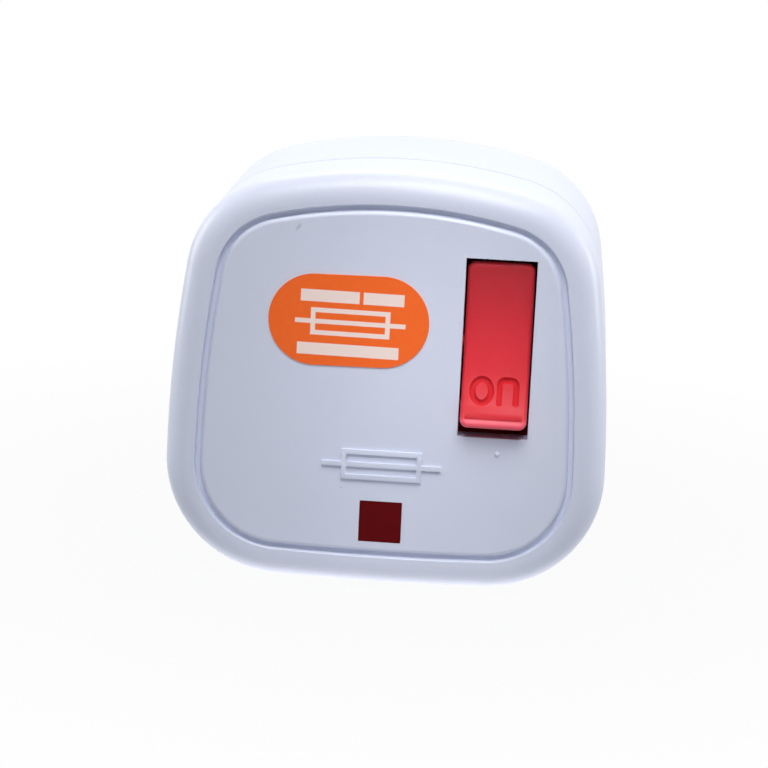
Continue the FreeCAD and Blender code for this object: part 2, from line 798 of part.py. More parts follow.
def rocker_hollows():
    roof = body_depth + rocker_stand - rocker_scoop - rocker_skin
    half = rocker_width / 2 - rocker_skin
    near = tube_radius + tube_side_room
    far = rocker_half_length - rocker_skin
    return [box(rocker_x - half, rocker_x + half, pivot_depth - rocker_keel - 1, roof,
                rocker_z + min(side * near, side * far), rocker_z + max(side * near, side * far))
            for side in (-1, 1)]


def rocker_switch():
    # Rocker with its pivots and plunger tube, turned to off: top pressed in, "on" end proud
    solid = rocker_solid().cut(rocker_hollows())
    tube = rod_out(rocker_x, rocker_z, tube_radius, pivot_depth - tube_length, pivot_depth)
    reach = frame_half_width - pivot_end_gap
    pivots = rod_across(pivot_depth, rocker_z, pivot_radius, rocker_x - reach, rocker_x + reach)
    bore = rod_out(rocker_x, rocker_z, tube_bore, pivot_depth - tube_length - 1, pivot_depth + tube_bore_rise)
    solid = solid.fuse([tube, pivots]).cut(bore).removeSplitter()
    return turned(solid, -rocker_tilt, pivot_depth, rocker_z)


def plunger():
    tip = pivot_depth - plunger_reach + plunger_radius
    body = rod_out(rocker_x, rocker_z, plunger_radius, tip, pivot_depth - plunger_tail)
    nose = Part.makeSphere(plunger_radius, Vec(rocker_x, -tip, rocker_z))
    return turned(body.fuse(nose).removeSplitter(), -rocker_tilt, pivot_depth, rocker_z)


def plunger_spring():
    # Coil between the bore's end and the plunger's tail
    room = tube_bore_rise + plunger_tail - 2 * spring_wire
    path = Part.makeHelix(room / spring_turns, room, spring_radius)
    start = Vec(spring_radius, 0, 0)
    section = Part.Wire([Part.makeCircle(spring_wire, start, Vec(0, 1, 0))])
    coil = Part.Wire(path.Edges).makePipeShell([section], True, True)
    coil.rotate(Vec(0, 0, 0), X_AXIS, 90)
    coil.translate(Vec(rocker_x, -(pivot_depth - plunger_tail + spring_wire), rocker_z))
    return turned(coil, -rocker_tilt, pivot_depth, rocker_z)


# Cord grip

def cord_grip_bar():
    low = grip_z - grip_bar_width / 2
    high = grip_z + grip_bar_width / 2
    bar = box(-grip_bar_half, grip_bar_half, grip_boss_depth, grip_boss_depth + grip_bar_thickness, low, high)
    bar = fillet_where(bar, grip_bar_end, lambda e: e.BoundBox.YLength > grip_bar_thickness / 2)
    for step in (-1, 1):
        z = grip_z + step * grip_bar_width / 4
        rib = rod_across(grip_boss_depth, z, grip_rib, -cord_hole, cord_hole)
        bar = bar.fuse(rib)
    holes = [rod_out(side * grip_screw_x, grip_z, screw_radius + screw_clearance, 0, body_depth)
             for side in (-1, 1)]
    return bar.cut(holes).removeSplitter()


def grip_screw(side):
    return slotted_screw(side * grip_screw_x, grip_z, grip_boss_depth + grip_bar_thickness, grip_screw_depth,
                         screw_radius, screw_head, screw_head_height)


# Cover screw

def cover_screw():
    # Driven from the rear, its head at the bottom of the counterbore
    head_low = counterbore_depth - cover_screw_head_height
    shank = rod_out(0, cover_screw_z, cover_screw_radius, counterbore_depth,
                    counterbore_depth + cover_screw_length)
    head = rod_out(0, cover_screw_z, cover_screw_head, head_low, counterbore_depth)
    slot = box(-cover_screw_head - 1, cover_screw_head + 1, head_low - 1, head_low + screw_slot_depth,
               cover_screw_z - screw_slot_width / 2, cover_screw_z + screw_slot_width / 2)
    return shank.fuse(head).cut(slot).removeSplitter()


def cover_insert():
    # Brass bush in the cover's boss
    bush = rod_out(0, cover_screw_z, insert_radius, tower_depth, tower_depth + insert_length)
    hole = rod_out(0, cover_screw_z, cover_screw_radius + screw_clearance, 0, body_depth)
    return bush.cut(hole)


# Neon indicator

def neon_lens():
    half = lens_side / 2
    wide = half + lens_flange_margin
    inside = body_depth - front_wall
    stem = box(-half, half, inside - lens_flange, body_depth, lens_z - half, lens_z + half)
    flange = box(-wide, wide, inside - lens_flange, inside, lens_z - wide, lens_z + wide)
    return stem.fuse(flange).removeSplitter()


def neon_lamp():
    half = lamp_length / 2
    tube = rod_across(lamp_depth, lens_z, lamp_radius, -half, half)
    return fillet_where(tube, lamp_rounding, lambda e: e.BoundBox.XLength < 0.01)


def resistor_left():
    return lamp_length / 2 + resistor_gap


def neon_resistor():
    left = resistor_left()
    body = rod_across(lamp_depth, lens_z, resistor_radius, left, left + resistor_length)
    return fillet_where(body, resistor_rounding, lambda e: e.BoundBox.XLength < 0.01)


def lead(points):
    # Round wire along straight runs joined by arcs
    edges = []
    start = points[0]
    for before, corner, after in zip(points, points[1:], points[2:]):
        way_in = (corner - before).normalize()
        way_out = (after - corner).normalize()
        half_turn = way_in.getAngle(way_out) / 2
        trim = lead_bend * math.tan(half_turn)
        a = corner - way_in * trim
        b = corner + way_out * trim
        inward = (way_out - way_in).normalize()
        middle = corner + inward * (lead_bend / math.cos(half_turn) - lead_bend)
        edges.append(Part.LineSegment(start, a).toShape())
        edges.append(Part.Arc(a, middle, b).toShape())
        start = b
    edges.append(Part.LineSegment(start, points[-1]).toShape())
    path = Part.Wire(edges)
    first = points[1] - points[0]
    section = Part.Wire([Part.makeCircle(lead_radius, points[0], first)])
    return path.makePipeShell([section], True, False)


def neon_link():
    # Straight lead between the lamp and its resistor
    return rod_across(lamp_depth, lens_z, lead_radius, lamp_length / 2, resistor_left())


def neon_lead_live():
    start_x = resistor_left() + resistor_length
    seat = head_top + strip_thickness + screw_head_height
    bend_x = start_x + lead_run
    low = seat + lead_rise
    return lead([Vec(start_x, -lamp_depth, lens_z), Vec(bend_x, -lamp_depth, lens_z),
                 Vec(bend_x, -low, lens_z), Vec(terminal_x, -low, terminal_z),
                 Vec(terminal_x, -seat, terminal_z)])


def neon_lead_neutral():
    seat = head_top + screw_head_height
    return lead([Vec(-lamp_length / 2, -lamp_depth, lens_z), Vec(-current_x, -lamp_depth, lens_z),
                 Vec(-current_x, -seat - neutral_lead_rise, current_z), Vec(-current_x, -seat, current_z)])


# Label

def fuse_label():
    # Stadium-shaped sticker on the front panel
    radius = label_height / 2
    half = label_length / 2 - radius
    bar = box(label_x - half, label_x + half, body_depth, body_depth + label_thickness, label_z - radius,
              label_z + radius)
    ends = [rod_out(label_x + side * half, label_z, radius, body_depth, body_depth + label_thickness)
            for side in (-1, 1)]
    label = bar.fuse(ends).removeSplitter()
    label.rotate(Vec(label_x, 0, label_z), Vec(0, 1, 0), -label_turn)
    return label


def all_parts():
    terminal_seat = head_top + strip_thickness
    return {
        "front_cover": front_cover(),
        "rear_base": rear_base(),
        "rocker_switch": rocker_switch(),
        "plunger": plunger(),
        "plunger_spring": plunger_spring(),
        "switch_frame": switch_frame(),
        "contact_arm": contact_arm(),
        "common_contact": common_contact(),
        "line_contact": line_contact(),
        "fuse_clip_lower": fuse_clip_lower(),
        "fuse_body": fuse_body(),
        "fuse_cap_upper": fuse_end_cap(1),
        "fuse_cap_lower": fuse_end_cap(-1),
        "earth_pin": earth_pin(),
        "live_pin": live_pin(),
        "neutral_pin": neutral_pin(),
        "live_pin_sleeve": pin_sleeve(current_x),
        "neutral_pin_sleeve": pin_sleeve(-current_x),
        "live_terminal": live_terminal(),
        "live_terminal_screw": terminal_screw(terminal_x, terminal_z, terminal_seat),
        "neutral_terminal_screw": terminal_screw(-current_x, current_z, head_top),
        "earth_terminal_screw": terminal_screw(0, earth_z, head_top),
        "cord_grip_bar": cord_grip_bar(),
        "grip_screw_left": grip_screw(-1),
        "grip_screw_right": grip_screw(1),
        "cover_screw": cover_screw(),
        "cover_insert": cover_insert(),
        "neon_lens": neon_lens(),
        "neon_lamp": neon_lamp(),
        "neon_resistor": neon_resistor(),
        "neon_link": neon_link(),
        "neon_lead_live": neon_lead_live(),
        "neon_lead_neutral": neon_lead_neutral(),
        "fuse_label": fuse_label(),
    }


def main():
    os.makedirs("parts", exist_ok=True)
    for name, shape in all_parts().items():
        print(name, "solids", len(shape.Solids), "volume", round(shape.Volume, 2), "valid", shape.isValid())
        shape.exportStep("parts/" + name + ".step")


main()
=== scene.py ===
# %% [markdown]
# # A switched three-pin plug
#
# The plug's solids are already built to size, and this lesson dresses them: camera, soft light, a
# plastic or metal for every piece, and the small moulded details that are too fine for the solids.
# The first cell loads the solids. They stand where they belong, in metres, with +Z up and the front
# facing -Y, so nothing needs to be fitted by hand.

# %% Load the solids
import math

import bpy
from mathutils import Matrix, Vector


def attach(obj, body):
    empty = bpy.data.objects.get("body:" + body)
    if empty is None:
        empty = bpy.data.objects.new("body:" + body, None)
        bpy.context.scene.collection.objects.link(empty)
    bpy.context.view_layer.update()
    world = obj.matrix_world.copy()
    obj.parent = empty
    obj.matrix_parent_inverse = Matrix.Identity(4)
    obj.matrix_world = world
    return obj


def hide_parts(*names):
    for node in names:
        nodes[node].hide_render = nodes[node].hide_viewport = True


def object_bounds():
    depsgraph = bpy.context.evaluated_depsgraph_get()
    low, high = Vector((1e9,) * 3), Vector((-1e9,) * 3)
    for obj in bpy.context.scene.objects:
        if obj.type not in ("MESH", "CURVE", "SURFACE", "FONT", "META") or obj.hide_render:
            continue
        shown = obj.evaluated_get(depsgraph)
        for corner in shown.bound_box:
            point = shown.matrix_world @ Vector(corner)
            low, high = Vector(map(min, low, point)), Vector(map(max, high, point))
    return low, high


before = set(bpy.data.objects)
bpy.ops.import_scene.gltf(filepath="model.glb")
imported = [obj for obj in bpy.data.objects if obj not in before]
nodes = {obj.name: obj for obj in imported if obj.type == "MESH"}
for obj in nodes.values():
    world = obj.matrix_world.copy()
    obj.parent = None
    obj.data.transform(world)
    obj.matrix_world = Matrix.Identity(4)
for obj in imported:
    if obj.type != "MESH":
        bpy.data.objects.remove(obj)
cad_box = [list(corner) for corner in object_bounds()]
bpy.ops.object.select_all(action="DESELECT")
MM = 0.001
print("solids:", len(nodes))
print("box in mm:", [[round(v / MM, 2) for v in corner] for corner in cad_box])

# %% [markdown]
# ## Camera
#
# A product photographer stands a small plug a forearm away from a long lens, a little above it, and
# rarely gets the horizon dead level. The numbers below are the distance, the turn round the plug,
# the height above it, the roll, and the point on the front that lies in the middle of the picture. A
# camera can also be aimed with a Track To constraint, but writing its three axes out once is shorter
# and keeps the roll exact.

# %% Place the camera
IMAGE_SIZE = 768
FOCAL_PIXELS = 2079.1
SENSOR_WIDTH = 36.0
CAMERA_DISTANCE = 240.9 * MM
CAMERA_AZIMUTH = math.radians(3.86)
CAMERA_ELEVATION = math.radians(13.29)
CAMERA_ROLL = math.radians(2.56)
CAMERA_TARGET = Vector((-0.25, -32.0, -3.11)) * MM

back = Vector((math.sin(CAMERA_AZIMUTH) * math.cos(CAMERA_ELEVATION),
               -math.cos(CAMERA_AZIMUTH) * math.cos(CAMERA_ELEVATION),
               math.sin(CAMERA_ELEVATION)))
level_right = (-back).cross(Vector((0, 0, 1))).normalized()
level_up = level_right.cross(-back)
right = level_right * math.cos(CAMERA_ROLL) + level_up * math.sin(CAMERA_ROLL)
up = level_up * math.cos(CAMERA_ROLL) - level_right * math.sin(CAMERA_ROLL)

camera_data = bpy.data.cameras.new("camera")
camera_data.sensor_width = SENSOR_WIDTH
camera_data.lens = FOCAL_PIXELS * SENSOR_WIDTH / IMAGE_SIZE
camera = bpy.data.objects.new("camera", camera_data)
bpy.context.scene.collection.objects.link(camera)
camera.matrix_world = Matrix.Translation(CAMERA_TARGET + back * CAMERA_DISTANCE) @ Matrix(
    (right, up, back)).transposed().to_4x4()
bpy.context.scene.camera = camera
bpy.context.scene.view_settings.view_transform = "Standard"
print("lens:", round(camera_data.lens, 1), "mm")
print("camera in mm:", [round(v / MM, 1) for v in camera.location])

# %% [markdown]
# ## Helpers for materials
#
# A colour picked from a screen is an sRGB hex value, but Cycles works with linear light, so one
# function turns the one into the other. Another adds a node, sets its sockets and joins it to the
# nodes before it. With those two, a material reads like a recipe from top to bottom.

# %% Colour and node helpers
def colour(hex_value):
    # The sRGB curve is straight near black and a power above it
    channels = [int(hex_value[i:i + 2], 16) / 255 for i in (1, 3, 5)]
    linear = [c / 12.92 if c <= 0.04045 else ((c + 0.055) / 1.055) ** 2.4 for c in channels]
    return (*linear, 1.0)


def add(tree, kind, sockets=None, **settings):
    node = tree.nodes.new(kind)
    for name, value in settings.items():
        setattr(node, name, value)
    for socket, value in (sockets or {}).items():
        if isinstance(value, bpy.types.NodeSocket):
            tree.links.new(value, node.inputs[socket])
        else:
            node.inputs[socket].default_value = value
    return node


def start_material(name):
    material = bpy.data.materials.new(name)
    material.use_nodes = True
    material.node_tree.nodes.clear()
    return material, material.node_tree


def end_material(tree, shader):
    add(tree, "ShaderNodeOutputMaterial", {"Surface": shader.outputs[0]})


def per_mm(size):
    # A noise with this scale has features about this many millimetres wide
    return 1 / (size * MM)


def dress(material, *names):
    for name in names:
        nodes[name].data.materials.clear()
        nodes[name].data.materials.append(material)
    print(material.name, "on", ", ".join(names))


print("mid grey in linear light:", round(colour("#808080")[0], 3))

# %% [markdown]
# ## White tent
#
# Small white goods are usually shot in a light tent: white cloth behind and at the sides, and an
# open front with little light. That is why the flat front is the greyest part of a white plug and
# its rounded rim runs out to white. The world below does the tent: its light grows from the open
# front to the closed back. What the camera sees directly, in a gloss or through clear plastic is
# plain white, so the background needs no lamp of its own. A Light Path node tells those rays from
# the ones that only carry light.

# %% World: a tent that is open on the camera's side
def seen_directly(tree):
    ray = add(tree, "ShaderNodeLightPath")
    seen = add(tree, "ShaderNodeMath", {0: ray.outputs["Is Camera Ray"],
                                        1: ray.outputs["Is Glossy Ray"]}, operation="MAXIMUM")
    return add(tree, "ShaderNodeMath", {0: seen.outputs[0], 1: ray.outputs["Is Transmission Ray"]},
               operation="MAXIMUM").outputs[0]


FRONT_LIGHT = 0.10
BACK_LIGHT = 0.56
TENT_CURVE = 1.6

world = bpy.data.worlds.new("light tent")
world.use_nodes = True
bpy.context.scene.world = world
sky = world.node_tree
sky.nodes.clear()
direction = add(sky, "ShaderNodeTexCoord")
axes = add(sky, "ShaderNodeSeparateXYZ", {0: direction.outputs["Generated"]})
depth = add(sky, "ShaderNodeMapRange", {"Value": axes.outputs["Y"], "From Min": -1.0,
                                        "From Max": 1.0})
curve = add(sky, "ShaderNodeMath", {0: depth.outputs[0], 1: TENT_CURVE}, operation="POWER")
level = add(sky, "ShaderNodeMapRange", {"Value": curve.outputs[0], "To Min": FRONT_LIGHT,
                                        "To Max": BACK_LIGHT})
tent = add(sky, "ShaderNodeBackground", {"Color": colour("#F8FAFF"), "Strength": level.outputs[0]})
plain = add(sky, "ShaderNodeBackground", {"Color": colour("#FFFFFF"), "Strength": 1.0})
mixed = add(sky, "ShaderNodeMixShader", {0: seen_directly(sky), 1: tent.outputs[0],
                                         2: plain.outputs[0]})
add(sky, "ShaderNodeOutputWorld", {"Surface": mixed.outputs[0]})
print("tent light from", FRONT_LIGHT, "at the front to", BACK_LIGHT, "at the back")

# %% [markdown]
# ## Lamps
#
# One large soft lamp hangs high in front of the plug. Light that comes down at a steep angle is what
# shows the rocker's hollow: its lower half turns up towards the lamp, and its upper half turns away.
# Two tall lamps stand at the sides, behind the plane of the flat front, so they can't reach it and
# light only the rim where it rolls away, more and more towards the outline. A weaker one behind does
# the same for the top, which runs out to white in such pictures.
#
# A small spot above the camera, aimed between the rocker and the middle, lifts the middle of the
# front. It has to be small, because a spot's cone blurs by the size of its source. A sun would draw
# hard shadows that a tent never has. Places and sizes here are in metres, as in Blender's panels.

# %% Overhead, back and side lamps
LAMP_COLOUR = "#FFFDF8"
TOP_LAMP_POWER = 1.83
BACK_LAMP_POWER = 0.4
SIDE_LAMP_POWER = 0.64
PLUG_MIDDLE = (0.0, -0.02, 0.0)
PLUG_FRONT = (0.0, -0.03, 0.0)


def aim(lamp, place, target):
    lamp.location = place
    lamp.rotation_euler = (Vector(place) - Vector(target)).to_track_quat("Z", "Y").to_euler()


def soft_lamp(name, width, height, watts, place, target):
    data = bpy.data.lights.new(name, "AREA")
    data.shape = "RECTANGLE"
    data.size = width
    data.size_y = height
    data.energy = watts
    data.color = colour(LAMP_COLOUR)[:3]
    lamp = bpy.data.objects.new(name, data)
    bpy.context.scene.collection.objects.link(lamp)
    aim(lamp, place, target)
    print(name, watts, "W")


# Name, width, height, power, place and aim
soft_lamp("overhead lamp", 0.34, 0.20, TOP_LAMP_POWER, (0.02, -0.236, 0.40), PLUG_FRONT)
soft_lamp("back lamp", 0.30, 0.15, BACK_LAMP_POWER, (0.0, 0.25, 0.33), PLUG_MIDDLE)
for side, sign in (("left", -1), ("right", 1)):
    soft_lamp(side + " lamp", 0.10, 0.30, SIDE_LAMP_POWER, (sign * 0.35, 0.06, 0.05), PLUG_MIDDLE)

# %% Small front spot
FRONT_LAMP_POWER = 1.55
FRONT_LAMP_RADIUS = 0.012
FRONT_LAMP_CONE = math.radians(6.8)
FRONT_LAMP_PLACE = (0.03, -0.27, 0.24)
FRONT_LAMP_TARGET = (0.005, -0.031, -0.0025)

front_data = bpy.data.lights.new("small front lamp", "SPOT")
front_data.energy = FRONT_LAMP_POWER
front_data.shadow_soft_size = FRONT_LAMP_RADIUS
front_data.spot_size = FRONT_LAMP_CONE
front_data.spot_blend = 1.0
front_lamp = bpy.data.objects.new("small front lamp", front_data)
bpy.context.scene.collection.objects.link(front_lamp)
aim(front_lamp, FRONT_LAMP_PLACE, FRONT_LAMP_TARGET)
print("small front lamp", FRONT_LAMP_POWER, "W")

# %% [markdown]
# ## Floor
#
# The plug stands on a sheet of translucent acrylic. Near the plug the sheet takes a soft shadow, and
# further out it turns, by its distance in Object coordinates, into the same white as the background,
# so no horizon line shows. A curved paper sweep would do the same, but it is one more thing to
# model.
#
# A small light box glows through the sheet just where the plug stands. That keeps the lower rim from
# going black without lifting the whole front, and rays that see the sheet directly don't see the
# glow. A box mask tells where it is: inside the box, the larger of the two distances past its sides
# is below zero, and the last millimetres fade.

# %% Acrylic floor
def inside_box(tree, across, upward, box, edge):
    middle_a, middle_b, half_a, half_b = [value * MM for value in box]
    distances = []
    for axis, middle, half in ((across, middle_a, half_a), (upward, middle_b, half_b)):
        offset = add(tree, "ShaderNodeMath", {0: axis, 1: middle}, operation="SUBTRACT")
        size = add(tree, "ShaderNodeMath", {0: offset.outputs[0]}, operation="ABSOLUTE")
        past = add(tree, "ShaderNodeMath", {0: size.outputs[0], 1: half}, operation="SUBTRACT")
        distances.append(past.outputs[0])
    larger = add(tree, "ShaderNodeMath", {0: distances[0], 1: distances[1]}, operation="MAXIMUM")
    return add(tree, "ShaderNodeMapRange", {"Value": larger.outputs[0], "From Min": edge * MM,
                                            "From Max": -edge * MM}).outputs[0]


FLOOR_SIZE = 3.0
FLOOR_FADE_START = 40.0
FLOOR_FADE_END = 110.0
# How white the sheet looks right under the plug, from 0, its own grey, to 1, the background
FLOOR_SEEN_WHITE = 0.94
GLOW = 1.2
# Middle across and in depth, then half width and half depth, in millimetres on the floor
GLOW_BOX = (0.0, -14.5, 28.0, 19.5)
GLOW_EDGE = 3.0

floor_z = cad_box[0][2]
bpy.ops.mesh.primitive_plane_add(size=FLOOR_SIZE, location=(0, 0, floor_z))
floor = bpy.context.object
floor.name = "floor"
bpy.ops.object.transform_apply(location=True, rotation=True, scale=True)

acrylic, tree = start_material("translucent grey-white acrylic sheet")
place = add(tree, "ShaderNodeTexCoord")
centred = add(tree, "ShaderNodeMapping", {"Vector": place.outputs["Object"],
                                          "Location": (0, 0, -floor_z)})
distance = add(tree, "ShaderNodeVectorMath", {0: centred.outputs[0]}, operation="LENGTH")
fade = add(tree, "ShaderNodeMapRange", {"Value": distance.outputs["Value"],
                                        "From Min": FLOOR_FADE_START * MM,
                                        "From Max": FLOOR_FADE_END * MM,
                                        "To Min": FLOOR_SEEN_WHITE})
seen = seen_directly(tree)
amount = add(tree, "ShaderNodeMath", {0: fade.outputs[0], 1: seen}, operation="MULTIPLY")
sheet = add(tree, "ShaderNodeBsdfDiffuse", {"Color": colour("#A5A8AD")})
axes = add(tree, "ShaderNodeSeparateXYZ", {0: place.outputs["Object"]})
under = inside_box(tree, axes.outputs["X"], axes.outputs["Y"], GLOW_BOX, GLOW_EDGE)
unseen = add(tree, "ShaderNodeMath", {0: 1.0, 1: seen}, operation="SUBTRACT")
shown = add(tree, "ShaderNodeMath", {0: unseen.outputs[0], 1: under}, operation="MULTIPLY")
strength = add(tree, "ShaderNodeMath", {0: shown.outputs[0], 1: GLOW}, operation="MULTIPLY")
through = add(tree, "ShaderNodeEmission", {"Color": colour("#FFFAF2"),
                                           "Strength": strength.outputs[0]})
lit = add(tree, "ShaderNodeAddShader", {0: sheet.outputs[0], 1: through.outputs[0]})
white = add(tree, "ShaderNodeEmission", {"Color": colour("#FFFFFF"), "Strength": 1.0})
mixed = add(tree, "ShaderNodeMixShader", {0: amount.outputs[0], 1: lit.outputs[0],
                                          2: white.outputs[0]})
end_material(tree, mixed)
floor.data.materials.append(acrylic)
print("floor at", round(floor_z / MM, 2), "mm")

# %% [markdown]
# ## Moulded white urea
#
# Both shells are pressed from urea-formaldehyde, the hard, cool white thermoset of most wiring
# accessories. It has a polished skin with a very slight orange peel from the steel mould, and the
# resin's flow leaves a barely uneven white. A base colour with a broad, faint noise and two finer
# noises for the skin give that. Subsurface light would soften it like wax, so none is used.
#
# The front also has a small grey scuff and a faint fleck. Each is a soft ellipse in Object
# coordinates: a Mapping node of the Texture kind moves the piece's coordinates to the mark's middle
# and turns and scales them, and the length of the result is 1 on the ellipse's edge. A painted image
# could hold marks too, but two ellipses stay sharp at any size.

# %% Soft ellipse for a mark
ELLIPSE_FADES_OUT = 1.3
ELLIPSE_IS_FULL = 0.5


def ellipse(tree, coordinates, middle, half_sizes, turn):
    placed = add(tree, "ShaderNodeMapping",
                 {"Vector": coordinates, "Location": [v * MM for v in middle],
                  "Rotation": (0, math.radians(turn), 0), "Scale": [v * MM for v in half_sizes]},
                 vector_type="TEXTURE")
    length = add(tree, "ShaderNodeVectorMath", {0: placed.outputs[0]}, operation="LENGTH")
    return add(tree, "ShaderNodeMapRange", {"Value": length.outputs["Value"],
                                            "From Min": ELLIPSE_FADES_OUT,
                                            "From Max": ELLIPSE_IS_FULL},
               interpolation_type="SMOOTHSTEP")


print("a mark is full within", ELLIPSE_IS_FULL, "of its ellipse and gone at", ELLIPSE_FADES_OUT)

# %% White urea, plain and marked
FLOW_WIDTH = 14.0
PEEL_WIDTH = 1.6
GRAIN_WIDTH = 0.25


def white_urea(name, marks):
    material, tree = start_material(name)
    place = add(tree, "ShaderNodeTexCoord").outputs["Object"]
    flow = add(tree, "ShaderNodeTexNoise", {"Vector": place, "Scale": per_mm(FLOW_WIDTH),
                                            "Detail": 3.0, "Roughness": 0.6})
    tint = add(tree, "ShaderNodeMix", {0: flow.outputs[0], 6: colour("#D3DAEF"),
                                       7: colour("#DAE0F4")}, data_type="RGBA").outputs[2]
    for middle, half_sizes, turn, strength, hex_value in marks:
        mark = ellipse(tree, place, middle, half_sizes, turn)
        amount = add(tree, "ShaderNodeMath", {0: mark.outputs[0], 1: strength}, operation="MULTIPLY")
        tint = add(tree, "ShaderNodeMix", {0: amount.outputs[0], 6: tint, 7: colour(hex_value)},
                   data_type="RGBA").outputs[2]
    peel = add(tree, "ShaderNodeTexNoise", {"Vector": place, "Scale": per_mm(PEEL_WIDTH),
                                            "Detail": 2.0})
    grain = add(tree, "ShaderNodeTexNoise", {"Vector": place, "Scale": per_mm(GRAIN_WIDTH),
                                             "Detail": 3.0})
    relief = add(tree, "ShaderNodeMath", {0: grain.outputs[0], 1: 0.25, 2: peel.outputs[0]},
                 operation="MULTIPLY_ADD")
    skin = add(tree, "ShaderNodeBump", {"Height": relief.outputs[0], "Strength": 0.3,
                                        "Distance": 0.02 * MM})
    gloss = add(tree, "ShaderNodeMapRange", {"Value": grain.outputs[0], "To Min": 0.32,
                                             "To Max": 0.42})
    shader = add(tree, "ShaderNodeBsdfPrincipled", {"Base Color": tint, "IOR": 1.5,
                                                    "Roughness": gloss.outputs[0],
                                                    "Normal": skin.outputs[0]})
    end_material(tree, shader)
    return material


# Each mark's middle and half sizes in millimetres, its turn in degrees, strength and colour
SCUFF = ((-10.8, -32.0, 14.7), (0.22, 3.0, 0.52), 34.0, 0.26, "#5E6472")
FLECK = ((-4.75, -32.0, -15.85), (0.12, 3.0, 0.12), 0.0, 0.25, "#6A6A74")
urea = white_urea("moulded white urea", [])
marked_urea = white_urea("moulded white urea with scuff", [SCUFF, FLECK])
dress(urea, "rear_base")
dress(marked_urea, "front_cover")

# %% [markdown]
# ## Red rocker plastic
#
# The rocker and the frame it turns in are a satin thermoplastic, moulded in one saturated red. A
# little light passes through such plastic. A short subsurface radius, longest for red, gives that,
# and it makes the gap round the rocker look maroon and not black. A matt-gloss skin with fine grain
# keeps the highlight broad. The specular is held low because a tent's white shows in every gloss,
# and a strong one would turn the red pink.
#
# Two more settings of the recipe go on the rocker. Below the height where its lower lip starts, a
# second, paler colour is mixed in: a painted highlight in place of the gloss the lip catches. The
# sunk strokes of its word are left matt by the mould, so the other is rougher, and its deeper
# red is painted shade in the strokes.

# %% Rocker red
RED_FLOW_WIDTH = 6.0
RED_GRAIN_WIDTH = 0.3
RED_LIGHT_DEPTH = 1.2
# The height where the painted lip highlight starts, and how far it takes to fade in, in millimetres
LIP_TOP = -6.15
LIP_FADE = 0.35


def red_plastic(name, dark, light, roughness, specular, painted_highlight=None):
    material, tree = start_material(name)
    place = add(tree, "ShaderNodeTexCoord").outputs["Object"]
    flow = add(tree, "ShaderNodeTexNoise", {"Vector": place, "Scale": per_mm(RED_FLOW_WIDTH),
                                            "Detail": 2.0})
    tint = add(tree, "ShaderNodeMix", {0: flow.outputs[0], 6: colour(dark), 7: colour(light)},
               data_type="RGBA")
    # Below the lip's top the colour turns paler: a painted highlight on the lip
    if painted_highlight:
        height = add(tree, "ShaderNodeSeparateXYZ", {0: place}).outputs["Z"]
        lip = add(tree, "ShaderNodeMapRange", {"Value": height, "From Min": LIP_TOP * MM,
                                               "From Max": (LIP_TOP - LIP_FADE) * MM})
        tint = add(tree, "ShaderNodeMix", {0: lip.outputs[0], 6: tint.outputs[2],
                                           7: colour(painted_highlight)}, data_type="RGBA")
    grain = add(tree, "ShaderNodeTexNoise", {"Vector": place, "Scale": per_mm(RED_GRAIN_WIDTH),
                                             "Detail": 2.0})
    skin = add(tree, "ShaderNodeBump", {"Height": grain.outputs[0], "Strength": 0.2,
                                        "Distance": 0.01 * MM})
    shader = add(tree, "ShaderNodeBsdfPrincipled", {"Base Color": tint.outputs[2],
                                                    "Roughness": roughness, "IOR": 1.5,
                                                    "Specular IOR Level": specular,
                                                    "Subsurface Weight": 0.4,
                                                    "Subsurface Radius": (1.0, 0.12, 0.12),
                                                    "Subsurface Scale": RED_LIGHT_DEPTH * MM,
                                                    "Normal": skin.outputs[0]})
    end_material(tree, shader)
    return material


SATIN_RED = ("#D42B39", "#DD3240", 0.42, 0.3)
# The matt red is rougher, and its deeper colour is painted shade in the sunk strokes
MATT_SHADED_RED = ("#D02630", "#DA2D37", 0.7, 0.1)
rocker_red = red_plastic("satin moulded red thermoplastic", *SATIN_RED)
# The paler colour on its lip is a painted highlight
lip_highlight_red = red_plastic("red thermoplastic with painted lip highlight", *SATIN_RED, painted_highlight="#EE6074")
sunk_shaded_red = red_plastic("matt red thermoplastic with painted shade in the sunk word", *MATT_SHADED_RED)
dress(rocker_red, "rocker_switch", "switch_frame")

# %% [markdown]
# ## Clear dark red lens
#
# The neon's window is a small block of clear polycarbonate, tinted so deep that it looks nearly
# black while the lamp is off. Real transmission would show only the dark inside, at the price of
# noise, so the block is a dark red with a smooth surface and a faint cloud of moulding flow.

# %% Lens
CLOUD_WIDTH = 1.2

lens_red, tree = start_material("clear dark red polycarbonate")
place = add(tree, "ShaderNodeTexCoord").outputs["Object"]
cloud = add(tree, "ShaderNodeTexNoise", {"Vector": place, "Scale": per_mm(CLOUD_WIDTH),
                                         "Detail": 2.0})
tint = add(tree, "ShaderNodeMix", {0: cloud.outputs[0], 6: colour("#5A0409"),
                                   7: colour("#68070D")}, data_type="RGBA")
skin = add(tree, "ShaderNodeBump", {"Height": cloud.outputs[0], "Strength": 0.15,
                                    "Distance": 0.02 * MM})
shader = add(tree, "ShaderNodeBsdfPrincipled", {"Base Color": tint.outputs[2], "Roughness": 0.18,
                                                "IOR": 1.58, "Specular IOR Level": 0.04,
                                                "Normal": skin.outputs[0]})
end_material(tree, shader)
dress(lens_red, "neon_lens")

# %% [markdown]
# ## Printed label
#
# The label is a die-cut stadium of film, printed orange with pale reversed-out shapes. Its print
# here is a fuse symbol, a box with a line through it, between two rows of plain bars. Each shape is
# a box mask, as under the floor, in the label's own coordinates. Cutting the shapes into the mesh
# would work too, but ink has no thickness, and a mask in the material keeps the film in one piece.

# %% Label film and its print
LABEL_MIDDLE = (-4.65, -32.0, 4.1)
LABEL_TURN = 0.6
INK_EDGE = 0.04
MOTTLE_WIDTH = 0.7
